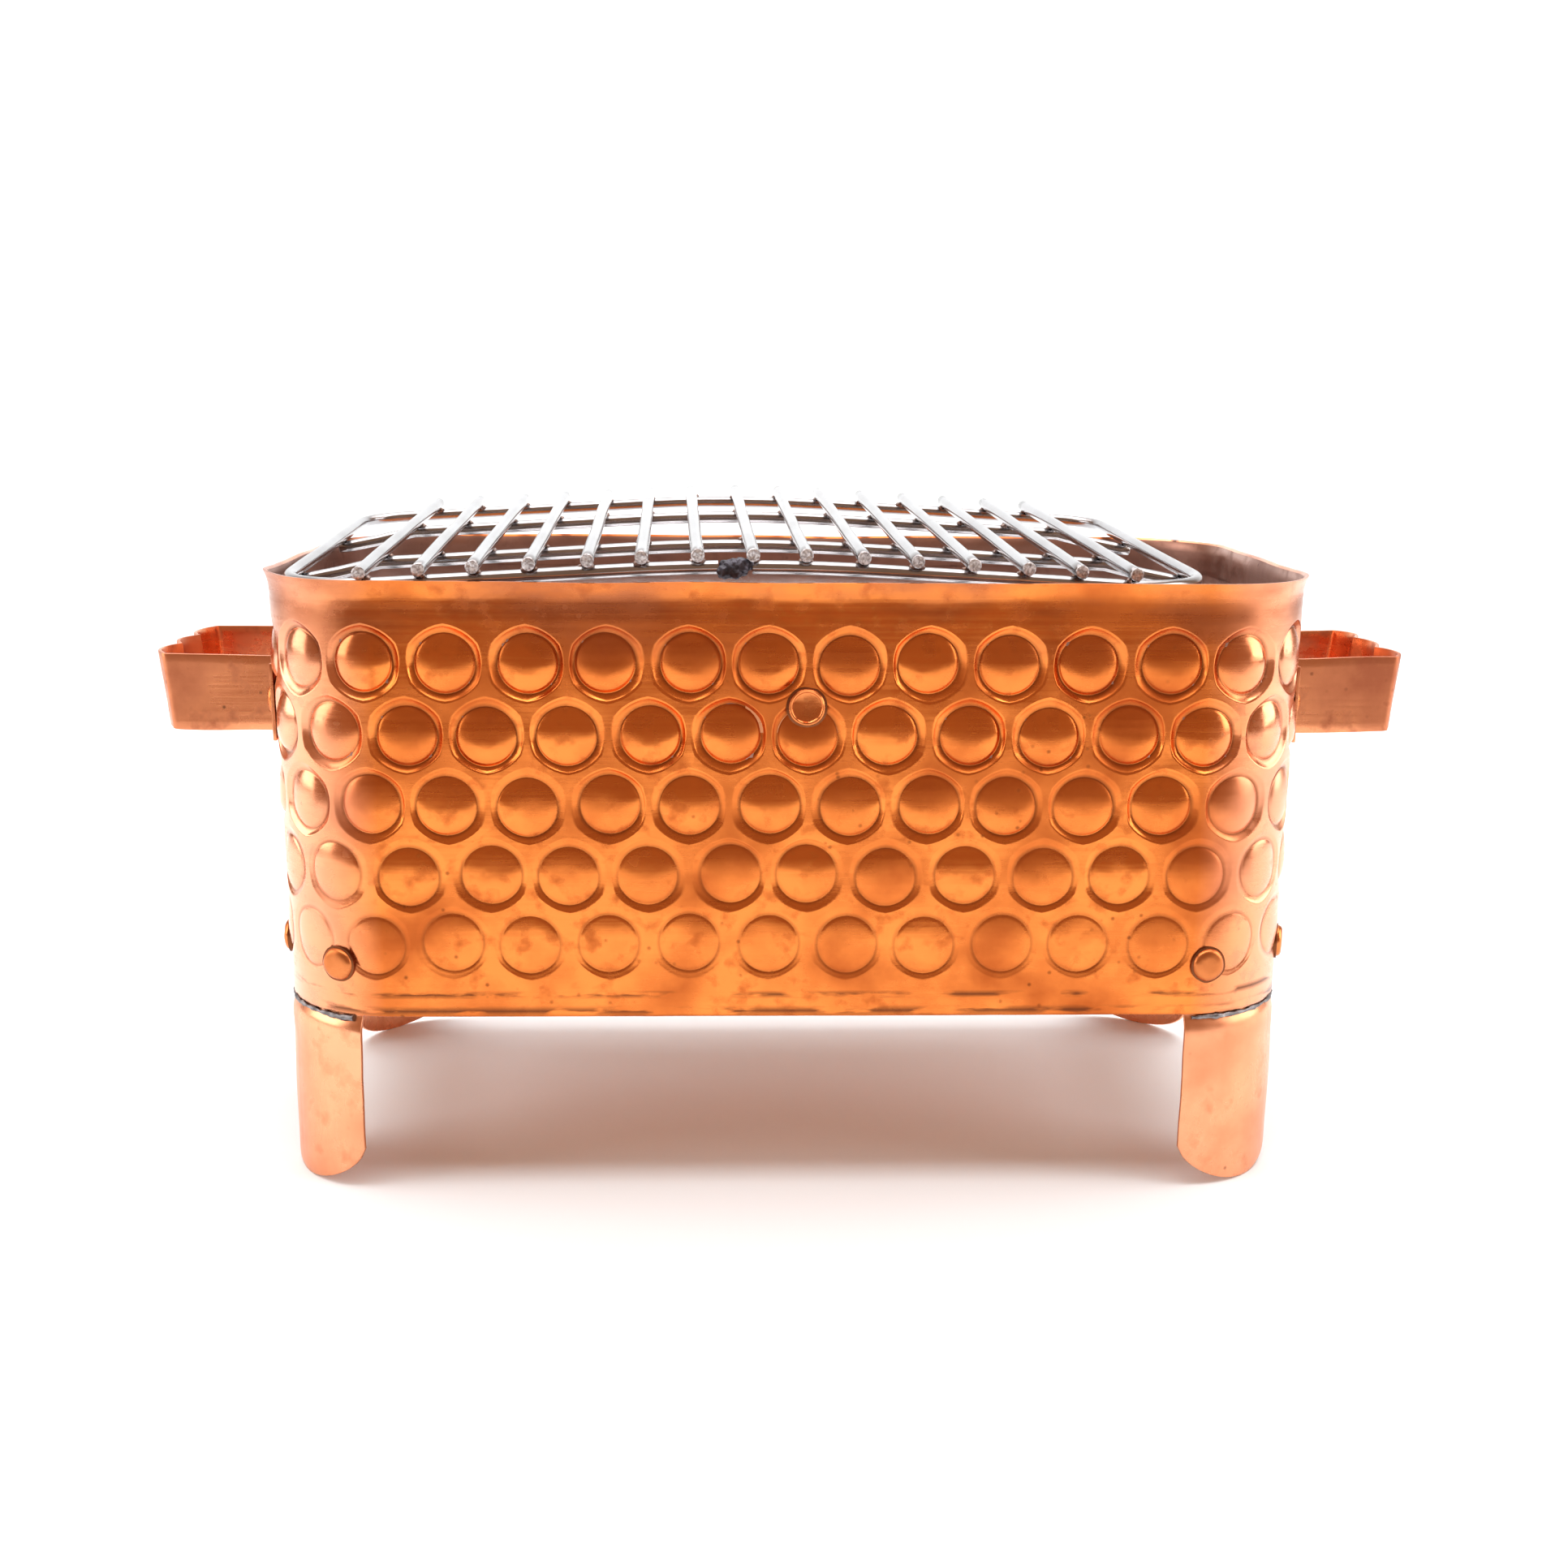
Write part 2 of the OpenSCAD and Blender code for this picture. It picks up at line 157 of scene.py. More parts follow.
# %% Make one dimple cell
SEGMENTS = 36
HEX = [Vector((math.cos(math.radians(90 + 60 * k)) * STEP / math.sqrt(3),
               math.sin(math.radians(90 + 60 * k)) * ROW_STEP * 2 / 3, 0)) for k in range(7)]

def hexagon_point(v):
    i = round((math.degrees(math.atan2(v.y, v.x)) - 90) / 10) % SEGMENTS
    return HEX[i // 6].lerp(HEX[i // 6 + 1], i % 6 / 6)

def dome_height(rho):
    t = min(rho / DISC, 1)
    return DOME * (1 - t ** 3)

cell = bmesh.new()
bmesh.ops.create_circle(cell, cap_ends=True, segments=SEGMENTS, radius=DISC)
middle = list(cell.faces)
for ring in (0.35, 0.9, 2.0, 2.7):
    bmesh.ops.inset_individual(cell, faces=middle, thickness=ring)
bmesh.ops.poke(cell, faces=middle)
for v in cell.verts:
    v.co.z = -DEEP
fades = [0.0] * len(cell.verts)
edge = [e for e in cell.edges if e.is_boundary]
for reach, depth, fade in ((9.15, 1.0, 0.05), (9.9, 0.8, 0.3), (10.6, 0.24, 0.65),
                           (10.95, 0.0, 0.8), (11.3, 0.0, 0.95), (None, 0.0, 1.0)):
    ring = bmesh.ops.extrude_edge_only(cell, edges=edge)["geom"]
    for v in (g for g in ring if isinstance(g, bmesh.types.BMVert)):
        direction = Vector((v.co.x, v.co.y, 0)).normalized()
        rim_point = hexagon_point(direction)
        if reach:
            pull = 0.3 * (rim_point.length - STEP / 2) * (reach - DISC) / (STEP / 2 - DISC)
            rim_point = direction * (reach + pull)
        v.co = Vector((rim_point.x, rim_point.y, -DEEP * depth))
        fades.append(fade)
    edge = [e for e in ring if isinstance(e, bmesh.types.BMEdge)]

# %% [markdown]
# The crease round each disc is painted darker, as painted shade. The cell carries an amount of
# painted crease shade at each point, and the copper finish reads it later.

# %% Mark the painted shade in the crease
CREASE = 0.55
# How much painted shade each point of the crease gets.
crease_shade = cell.verts.layers.float.new("crease_shade")
for v in cell.verts:
    v[crease_shade] = max(0, 1 - abs(v.co.xy.length - DISC - 0.1) / CREASE)
cell_mesh = bpy.data.meshes.new("cell")
cell.to_mesh(cell_mesh)
print("one cell:", len(cell_mesh.polygons), "faces")

# %% [markdown]
# Copies of the cell are laid out flat and welded into one sheet. Each copy is moved,
# deepened and leaned a little, fading to nothing at the hexagon's edge so that neighbours
# still meet. No two blows of a hammer are alike, and the leaning makes each dome shine
# differently.

# %% Lay out the flat sheet
GROOVE = 0.1
sheet = bmesh.new()
for (r, c), (s, z, strength, dx, dz) in dimples.items():
    first = len(sheet.verts)
    lean = Vector((rng.uniform(-0.06, 0.06), rng.uniform(0.01, 0.13)))
    sheet.from_mesh(cell_mesh)
    sheet.verts.ensure_lookup_table()
    for v, fade in zip(sheet.verts[first:], fades):
        rho = v.co.xy.length
        depth = v.co.z * strength + dome_height(rho) * strength ** 0.7
        if abs(rho - DISC) < 0.01:
            depth -= GROOVE
        depth -= lean.dot(v.co.xy) * strength * (1 - min(rho / DISC, 1) ** 3)
        v.co = Vector((s + v.co.x + dx * (1 - fade), z + v.co.y + dz * (1 - fade), depth))
bmesh.ops.remove_doubles(sheet, verts=sheet.verts, dist=0.02)
print("welded:", len(sheet.verts), "points")

# %% [markdown]
# The plain bands above and below the dimples are the zigzag edges of the sheet, extruded
# to straight lines. The top one goes on over the rim and down the inside, so the wall
# becomes a closed skin round a real thickness of metal.

# %% Helpers for the bands and the inside face
def grow(edges, z, d):
    """Extrude a chain of edges to height z, set out from the wall by d."""
    ring = bmesh.ops.extrude_edge_only(sheet, edges=edges)["geom"]
    for g in ring:
        if isinstance(g, bmesh.types.BMVert):
            g.co.y, g.co.z = z, d(g.co.x, z) if callable(d) else d
    return [g for g in ring if isinstance(g, bmesh.types.BMEdge)]

def relief(s, z):
    """Depth of the dimples at a place on the sheet, for the inside face."""
    r = min(range(5), key=lambda k: abs(ROWS[k][0] - z))
    best = 0.0
    for k in (r - 1, r, r + 1):
        if 0 <= k < 5:
            c = round((s - SHIFT) / STEP - 0.5 * (k % 2)) % COUNT
            ds, dz0, strength, dx, dz = dimples[k, c]
            gap = (s - ds - dx + AROUND / 2) % AROUND - AROUND / 2
            rho = math.hypot(gap, z - dz0 - dz)
            if rho < DISC:
                return dome_height(rho) * strength ** 0.7 - DEEP * strength
            best = min(best, -DEEP * strength * max(0, 1 - (rho - DISC) / 3.2) ** 1.5)
    return best

# %% [markdown]
# The rim is turned over in five small steps, so light runs along it as on real sheet. The
# inside face then follows the dimples down to the lower edge.

# %% Add the plain bands, the rim and the inside face
open_edges = [e for e in sheet.edges if e.is_boundary]
top_of_rows, foot_of_rows = ROWS[0][0] + ROW_STEP / 3 - 0.1, ROWS[4][0] - ROW_STEP / 3 + 0.1
upper = [e for e in open_edges if min(v.co.y for v in e.verts) > top_of_rows]
lower = [e for e in open_edges if max(v.co.y for v in e.verts) < foot_of_rows]
for z in (179.2, 181.5, 184.0, 186.2, 187.4):
    upper = grow(upper, z, 0.0)
for z, d in ((187.9, -0.12), (188.0, -0.45), (188.0, -0.85), (187.8, -1.12), (187.3, -1.2)):
    upper = grow(upper, z, d)
outside_faces = len(sheet.faces)
for z in (184, 180, 176.5, *[172.5 - 5.5 * k for k in range(20)], 63.5, 60, 57):
    upper = grow(upper, z, lambda s, z: relief(s, z) - SHEET)
sheet.faces.ensure_lookup_table()
for face in sheet.faces[outside_faces:]:
    face.material_index = 1
upper = grow(upper, 56.2, -1.1)
for z, d in ((64.0, 0.0), (62.2, 0.0), (60.5, 0.0), (58.6, 0.0), (57.0, 0.0), (56.2, -0.1)):
    lower = grow(lower, z, d)
lower = grow(lower, 56.0, -0.4)
lower = grow(lower, 56.0, -0.8)
lower = grow(lower, 56.2, -1.1)
print("flat sheet:", len(sheet.faces), "faces")

# %% [markdown]
# The flat sheet is also the map for its finish, so scratches run along the sheet and
# round the corners with it. The map is kept before the sheet is bent.

# %% Keep the flat map
uv = sheet.loops.layers.uv.new("flat")
for face in sheet.faces:
    for corner in face.loops:
        corner[uv].uv = (corner.vert.co.x * MM, corner.vert.co.y * MM)

# %% [markdown]
# Bending: every point keeps its height, its distance along the sheet becomes distance
# round the outline, and its depth is measured square to the outline. Hand-worked metal is
# never true, so a slow wave is added everywhere and the rim wanders by half a millimetre.

# %% Bend the sheet round the outline
def waviness(p, size, seed):
    return noise.noise(Vector((p.x / size, p.y / size, p.z / size + seed)))

for v in sheet.verts:
    s, z, d = v.co
    flat_place, out = outline(s, corner_radius(z))
    near_rim = max(0, (z - 172) / 16) ** 2
    d += 0.35 * waviness(flat_place, 45, 3) + 0.5 * near_rim * waviness(flat_place, 30, 9)
    d += 0.15 * waviness(Vector((s, z, 0)), 8, 17) * (1 - 0.6 * near_rim)
    z += 0.55 * near_rim * waviness(flat_place, 38, 14)
    v.co = flat_place + out * d
    v.co.z = z
bmesh.ops.remove_doubles(sheet, verts=sheet.verts, dist=0.02)
print("open edges left:", sum(e.is_boundary for e in sheet.edges))

# %% [markdown]
# One helper finishes every piece: it scales the shape to metres, smooths what is round,
# keeps sharp what is sharp, ties the piece to its body, gives it its materials and hides the solid
# part it replaces.

# %% Turn shapes into pieces
def piece(name, shape, body, finish, mats, *nodes, sharp=40):
    """Make an object from a shape in millimetres and tie it to the solid model."""
    bmesh.ops.recalc_face_normals(shape, faces=shape.faces)
    bmesh.ops.scale(shape, vec=(MM, MM, MM), verts=shape.verts)
    mesh = bpy.data.meshes.new(name)
    shape.to_mesh(mesh)
    shape.free()
    for polygon in mesh.polygons:
        polygon.use_smooth = True
    mesh.set_sharp_from_angle(angle=math.radians(sharp))
    for mat in mats:
        mesh.materials.append(mat)
    obj = bpy.data.objects.new(name, mesh)
    bpy.context.collection.objects.link(obj)
    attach(obj, body)
    if nodes:
        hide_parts(*nodes)
    print(name, len(mesh.polygons), "faces")
    return obj

def new_points(found):
    """The new points and edges that an extrusion made."""
    return ([g for g in found if isinstance(g, bmesh.types.BMVert)],
            [g for g in found if isinstance(g, bmesh.types.BMEdge)])

def round_edges(shape, width, segments=2, least=60):
    """Bevel every edge that is sharper than an angle."""
    hard = [e for e in shape.edges if len(e.link_faces) == 2
            and e.calc_face_angle() > math.radians(least)]
    bmesh.ops.bevel(shape, geom=hard, offset=width, offset_type="OFFSET", affect="EDGES",
                    segments=segments, profile=0.5, material=-1)

# %% [markdown]
# Every finish is a metal whose colour and gloss wander. These helpers keep the recipes
# short: one adds a node and fills its inputs, the others give noise, a ramp and a mix.

# %% Helpers for the finishes
def start(name, metallic, place="Object"):
    """A new material, with its node tree, shader and coordinates."""
    mat = bpy.data.materials.new(name)
    mat.use_nodes = True
    tree = mat.node_tree
    shader = tree.nodes["Principled BSDF"]
    shader.inputs["Metallic"].default_value = metallic
    return mat, tree, shader, tree.nodes.new("ShaderNodeTexCoord").outputs[place]

def put(tree, kind, inputs=None, **settings):
    """Add a node; inputs are values or the outputs they are joined to."""
    made = tree.nodes.new("ShaderNode" + kind)
    for name, value in settings.items():
        setattr(made, name, value)
    for name, value in (inputs or {}).items():
        if isinstance(value, bpy.types.NodeSocket):
            tree.links.new(value, made.inputs[name])
        else:
            made.inputs[name].default_value = value
    return made

def clouds(tree, place, stretch, scale=1.0, detail=4.0, seed=0.0):
    """Noise from 0 to 1, stretched by an amount per metre along each axis."""
    moved = put(tree, "Mapping", {"Vector": place, "Scale": stretch,
                                  "Location": (seed, seed * 1.7, seed * 0.6)})
    return put(tree, "TexNoise", {"Vector": moved.outputs[0], "Scale": scale,
                                  "Detail": detail}).outputs[0]

def ramp(tree, value, low, high, out_low=0.0, out_high=1.0):
    """Stretch a range of values to another range, held at both ends."""
    return put(tree, "MapRange", {"Value": value, "From Min": low, "From Max": high,
                                  "To Min": out_low, "To Max": out_high}).outputs[0]

def times(tree, a, b, operation="MULTIPLY"):
    return put(tree, "Math", {0: a, 1: b}, operation=operation).outputs[0]

def blend(tree, amount, a, b):
    """Mix two colours."""
    made = put(tree, "Mix", data_type="RGBA")
    for socket, value in ((made.inputs[0], amount), (made.inputs[6], a), (made.inputs[7], b)):
        if isinstance(value, bpy.types.NodeSocket):
            tree.links.new(value, socket)
        else:
            socket.default_value = value
    return made.outputs[2]

# %% [markdown]
# Copper: a warm metal with slow blotches of heat colour, fine scratches along the sheet,
# and a scatter of dark specks. Tarnish dulls it and makes it browner at the same time.

# %% A recipe for copper
def copper(name, light, deep, rough, place="Object", grain=(12, 12, 900), stain=0.35,
           speck=0.5, scratch=0.25):
    """A copper finish. Returns the material, tree, shader, place and colour."""
    mat, tree, shader, where = start(name, 1.0, place)
    blotch = ramp(tree, clouds(tree, where, (34, 34, 34), detail=6, seed=2), 0.42, 0.68)
    small = ramp(tree, clouds(tree, where, (150, 150, 150), detail=8, seed=5), 0.5, 0.75)
    tarnish = times(tree, blotch, small, "MAXIMUM")
    tarnish = times(tree, tarnish, stain)
    colour = blend(tree, tarnish, light, deep)
    cells = put(tree, "TexVoronoi", {"Vector": where, "Scale": 190.0, "Randomness": 1.0})
    patchy = ramp(tree, clouds(tree, where, (26, 26, 26), detail=2, seed=8), 0.5, 0.62)
    dots = times(tree, ramp(tree, cells.outputs["Distance"], 0.05, 0.16, 1, 0), patchy)
    dots = times(tree, dots, speck)
    colour = blend(tree, dots, colour, (0.05, 0.016, 0.008, 1))
    lines = clouds(tree, where, grain, detail=3, seed=1)
    gloss = times(tree, ramp(tree, lines, 0.3, 0.75, -0.03, 0.07), rough, "ADD")
    gloss = times(tree, gloss, times(tree, tarnish, 0.28), "ADD")
    gloss = times(tree, gloss, times(tree, dots, 0.4), "ADD")
    tree.links.new(gloss, shader.inputs["Roughness"])
    tooth = clouds(tree, where, (420, 420, 420), detail=3, seed=11)
    height = times(tree, times(tree, lines, scratch), times(tree, tooth, 0.15), "ADD")
    bump = put(tree, "Bump", {"Height": height, "Distance": 0.00012, "Strength": 0.35})
    tree.links.new(bump.outputs[0], shader.inputs["Normal"])
    return mat, tree, shader, where, colour

# %% [markdown]
# The wall's own copper is the richest. Its colour is painted paler towards the ends of the body, a
# painted reflection of the side lights on the corners, browner in cloudy patches under the rim, and
# painted dark in the crease round each disc as painted shade. Two broken lines near the lower edge
# are where the sheet was folded over its form, and a dark seam closes it.

# %% The hammered copper
LIGHT, DEEP, CORNER_SHEEN = (0.85, 0.245, 0.052, 1), (0.48, 0.10, 0.02, 1), (0.90, 0.46, 0.30, 1)
# The crease colour is painted shade.
RIM_BROWN, CREASE_SHADE = (0.42, 0.13, 0.055, 1), (0.20, 0.05, 0.015, 1)
FOLD_DIRT, SEAM_DIRT = (0.07, 0.022, 0.012, 1), (0.06, 0.03, 0.025, 1)
hammered, tree, shader, where, colour = copper(
    "hammered copper", LIGHT, DEEP, 0.17, "UV", grain=(14, 900, 1), stain=0.8)
round_body = put(tree, "SeparateXYZ", {0: tree.nodes["Texture Coordinate"].outputs["Object"]})
# Painted reflection: the colour turns paler across the corners at the ends, where the side lights
# shine in the copper.
ends = ramp(tree, times(tree, round_body.outputs[0], 0.0, "ABSOLUTE"), 0.122, 0.152, 0, 0.85)
colour = blend(tree, ends, colour, CORNER_SHEEN)
along = put(tree, "SeparateXYZ", {0: where})
# Browner in cloudy patches towards the rim.
rim_clouds = ramp(tree, clouds(tree, where, (22, 60, 1), detail=7, seed=4), 0.38, 0.6)
top = times(tree, ramp(tree, along.outputs[1], 0.162, 0.180), rim_clouds)
colour = blend(tree, times(tree, top, 0.85), colour, RIM_BROWN)
# Painted shade in the crease round each disc, patchy and weaker on the shallow lower rows.
rings = put(tree, "Attribute", attribute_name="crease_shade").outputs["Fac"]
uneven_shade = ramp(tree, clouds(tree, where, (70, 70, 1), detail=3, seed=15), 0.35, 0.6, 0.45, 0.95)
less_on_low_rows = ramp(tree, along.outputs[1], 0.085, 0.12, 0.65, 1)
colour = blend(tree, times(tree, times(tree, rings, uneven_shade), less_on_low_rows), colour, CREASE_SHADE)
broken = ramp(tree, clouds(tree, where, (55, 260, 1), detail=8, seed=9), 0.46, 0.55)
for z, wide in ((0.0630, 0.0014), (0.0578, 0.0018)):
    off = times(tree, times(tree, along.outputs[1], z, "SUBTRACT"), 0.0, "ABSOLUTE")
    line = ramp(tree, off, 0, wide, 1, 0)
    colour = blend(tree, times(tree, times(tree, line, broken), 0.85), colour, FOLD_DIRT)
seam = ramp(tree, times(tree, along.outputs[0], AROUND * MM / 2, "PINGPONG"),
            0.0004, 0.0022, 1, 0)
colour = blend(tree, times(tree, seam, 0.9), colour, SEAM_DIRT)
tree.links.new(colour, shader.inputs["Base Color"])

# %% [markdown]
# The other pieces were cut from other sheets, and handled differently. Legs and handles
# are paler and stained, the inside is dull, and the rivets' edges are painted nearly black as
# shade.

# %% The plain coppers
def plain_copper(*args, **options):
    mat, tree, shader, where, colour = copper(*args, **options)
    tree.links.new(colour, shader.inputs["Base Color"])
    return mat

leg_copper = plain_copper("leg copper", (0.92, 0.41, 0.22, 1), (0.62, 0.21, 0.09, 1), 0.22,
                          grain=(300, 300, 10), stain=0.6, speck=0.8)
handle_copper = plain_copper("handle copper", (0.82, 0.32, 0.15, 1), (0.40, 0.12, 0.06, 1), 0.24,
                             grain=(20, 20, 700), stain=0.85, speck=0.8, scratch=0.6)
inner_copper = plain_copper("inner copper", (0.42, 0.225, 0.17, 1), (0.22, 0.11, 0.085, 1), 0.3,
                            stain=0.8, speck=0.3)
rivet_copper = plain_copper("rivet copper", (0.74, 0.24, 0.075, 1), (0.40, 0.11, 0.03, 1), 0.2,
                            stain=0.7, speck=0.2)
# Painted shade: the nearly black colour for the rivets' outer edges, where a head meets the sheet.
rivet_edge_shade = plain_copper("rivet edge shade", (0.22, 0.075, 0.03, 1), (0.08, 0.03, 0.015, 1), 0.35)
floor_copper = plain_copper("floor copper", (0.86, 0.39, 0.2, 1), (0.45, 0.17, 0.09, 1), 0.3,
                            stain=0.8)
bracket_copper = plain_copper("bracket copper", (0.86, 0.4, 0.2, 1), (0.42, 0.16, 0.09, 1), 0.3,
                              stain=0.8)
print("copper finishes:", sum("copper" in m.name for m in bpy.data.materials))

# %% [markdown]
# The steel is plain bright wire. Heat from the welds has browned it near each joint, so
# the wire carries an amount of heat at each point, which the finish reads. The cut ends
# are rough and sparkle, and the welds and solder are darker and lumpy.

# %% The steel and solder finishes
def steel(name, light, dark, rough, scale, bump_size, metallic=1.0, heated=False):
    mat, tree, shader, where = start(name, metallic)
    patches = clouds(tree, where, (scale, scale, scale), detail=6, seed=3)
    colour = blend(tree, ramp(tree, patches, 0.35, 0.7), light, dark)
    if heated:
        heat = put(tree, "Attribute", attribute_name="heat").outputs["Fac"]
        colour = blend(tree, times(tree, heat, ramp(tree, patches, 0.3, 0.6, 0.3, 0.8)), colour,
                       (0.20, 0.105, 0.07, 1))
    tree.links.new(colour, shader.inputs["Base Color"])
    fine = clouds(tree, where, (900, 900, 900), detail=4, seed=6)
    swing = 0.02 if heated else 0.06
    tree.links.new(times(tree, ramp(tree, fine, 0.3, 0.7, -swing, swing), rough, "ADD"),
                   shader.inputs["Roughness"])
    bump = put(tree, "Bump", {"Height": times(tree, fine, patches, "ADD"),
                              "Distance": bump_size, "Strength": 0.5})
    tree.links.new(bump.outputs[0], shader.inputs["Normal"])
    return mat

wire = steel("bright wire", (0.42, 0.41, 0.42, 1), (0.31, 0.295, 0.30, 1), 0.19, 40, 0.00001,
             heated=True)
sawn = steel("sawn end", (0.75, 0.74, 0.76, 1), (0.22, 0.19, 0.19, 1), 0.42, 1300, 0.0006)
weld = steel("weld", (0.10, 0.095, 0.12, 1), (0.03, 0.028, 0.035, 1), 0.42, 500, 0.0006,
             metallic=0.7)
nugget = steel("weld spot", (0.38, 0.31, 0.29, 1), (0.16, 0.085, 0.06, 1), 0.4, 300, 0.0004)
tin = steel("solder", (0.34, 0.33, 0.34, 1), (0.09, 0.085, 0.09, 1), 0.45, 260, 0.0005)
sheet_steel = steel("pan steel", (0.80, 0.81, 0.83, 1), (0.62, 0.62, 0.64, 1), 0.12, 18,
                    0.0001)
print("steel finishes:", 6)

# %% [markdown]
# The wall sheet becomes the first finished piece.

# %% Finish the wall
piece("wall", sheet, "body", "hammered_copper", [hammered, inner_copper], "body_wall",
      sharp=80)

# %% [markdown]
# A leg is a strip bent round a corner of the body. Spinning its section round the corner's
# upright axis bends it, and moving the lower rows cuts the foot to a round end.

# %% Make the legs
TURNS = {"front_left": 213, "front_right": 312, "back_left": 136, "back_right": 52}
HALF_ANGLE, FOOT = 41.0, 28.0
LEG_SECTION = [(37.0, 0), (37.0, 2), (37.05, 7), (37.1, 14), (37.1, 21), (37.05, 28),
               (37.0, 36), (36.9, 43), (37.05, 48), (37.0, 50.2), (36.75, 51.8),
               (36.3, 53.1), (35.75, 54.1), (35.35, 55.0), (35.25, 56.2), (35.4, 66),
               (35.6, 78), (35.75, 88)]

def corner_axis(turn):
    sx = 1 if math.cos(math.radians(turn)) > 0 else -1
    sy = 1 if math.sin(math.radians(turn)) > 0 else -1
    return Vector((sx * CORNER_X, sy * CORNER_Y, 0))

for name, turn in TURNS.items():
    leg = bmesh.new()
    axis = corner_axis(turn)
    begin = math.radians(turn - HALF_ANGLE)
    side = Vector((math.cos(begin), math.sin(begin), 0))
    points = [leg.verts.new(axis + side * r + Vector((0, 0, z))) for r, z in LEG_SECTION]
    chain = [leg.edges.new(pair) for pair in zip(points, points[1:])]
    bmesh.ops.spin(leg, geom=points + chain, cent=axis, axis=(0, 0, 1),
                   angle=math.radians(2 * HALF_ANGLE), steps=32)
    seed = turn / 10
    for v in leg.verts:
        d = v.co - axis
        a = math.atan2(d.y, d.x) - math.radians(turn)
        r = math.hypot(d.x, d.y)
        across = 37 * math.sin(a)
        bottom = 15 * (1 - math.sqrt(1 - (across / 24.45) ** 2))
        if v.co.z < FOOT:
            v.co.z = bottom + v.co.z * (FOOT - bottom) / FOOT
        wave = 0.35 * waviness(v.co, 22, seed) * min(1, max(0, (52 - v.co.z) / 10))
        d = Vector((d.x, d.y, 0)).normalized()
        v.co += d * wave + Vector((-d.y, d.x, 0)) * 0.5 * waviness(v.co, 16, seed + 4)
    bmesh.ops.recalc_face_normals(leg, faces=leg.faces)
    middle = max(leg.faces, key=lambda f: f.calc_center_median().z)
    outward = (middle.calc_center_median() - axis).dot(middle.normal) > 0
    bmesh.ops.solidify(leg, geom=leg.faces, thickness=1.5 if outward else -1.5)
    round_edges(leg, 0.45)
    piece("leg_looks_" + name, leg, "body", "leg_copper", [leg_copper], "leg_" + name)

# %% [markdown]
# A ragged line of solder runs round under the lower edge, between the wall and the leg's
# shoulder. It's a small ring spun round the corner, then made uneven.

# %% Run the solder
BEAD_R, BEAD_Z = 36.0, 54.9

for name, turn in TURNS.items():
    bead = bmesh.new()
    axis = corner_axis(turn)
    begin = math.radians(turn - 37)
    side = Vector((math.cos(begin), math.sin(begin), 0))
    bmesh.ops.create_circle(bead, segments=10, radius=1.0,
                            matrix=Matrix.Translation(axis + side * BEAD_R
                                                      + Vector((0, 0, BEAD_Z)))
                            @ Matrix.Rotation(begin, 4, "Z") @ Matrix.Rotation(math.pi / 2, 4, "X"))
    bmesh.ops.spin(bead, geom=bead.verts[:] + bead.edges[:], cent=axis, axis=(0, 0, 1),
                   angle=math.radians(74), steps=80)
    bmesh.ops.holes_fill(bead, edges=[e for e in bead.edges if e.is_boundary])
    for v in bead.verts:
        d = Vector((v.co.x - axis.x, v.co.y - axis.y, 0))
        core = axis + d.normalized() * BEAD_R + Vector((0, 0, BEAD_Z))
        lumpy = 0.75 + 0.7 * waviness(v.co, 3.5, turn) + 0.3 * waviness(v.co, 1.4, turn)
        v.co = core + (v.co - core) * max(0.25, min(lumpy, 1.3))
    piece("solder_looks_" + name, bead, "body", "solder_tin", [tin], "solder_" + name, sharp=60)

# %% [markdown]
# A handle is a strip set on edge: two feet on the wall, two straight arms, and a grip of
# three shallow lobes. The middle line is drawn from above and drawn up into a strip.

# %% Make the handles
def arc(cx, cy, r, a0, a1, steps):
    return [(cx + r * math.cos(math.radians(a0 + (a1 - a0) * k / steps)),
             cy + r * math.sin(math.radians(a0 + (a1 - a0) * k / steps)))
            for k in range(steps + 1)]

LOBE, LOBE_R, LOBE_A = 20.8, 19.5, 32.2
REACH, LOOP, GRIP_Z = 41.0, 33.0, 147.0
upper_half = ([(0.6, LOOP + y) for y in (18, 15.5, 13, 10.5, 8, 5.5)]
              + arc(3, LOOP + 3, 2.4, 180, 270, 6)
              + [(x, LOOP + 0.6) for x in (7, 12, 17, 22, 27, 32)]
              + arc(REACH - 6, LOOP - 1.8, 2.4, 90, 0, 6)[:-1]
              + arc(REACH - LOBE_R, LOBE, LOBE_R - 0.6, LOBE_A, -LOBE_A, 16))
middle_lobe = arc(REACH - LOBE_R, 0, LOBE_R - 0.6, LOBE_A, -LOBE_A, 16)[1:-1]
LINE = upper_half + middle_lobe + [(x, -y) for x, y in reversed(upper_half)]
BASE = CORNER_X + corner_radius(GRIP_Z) + 0.05

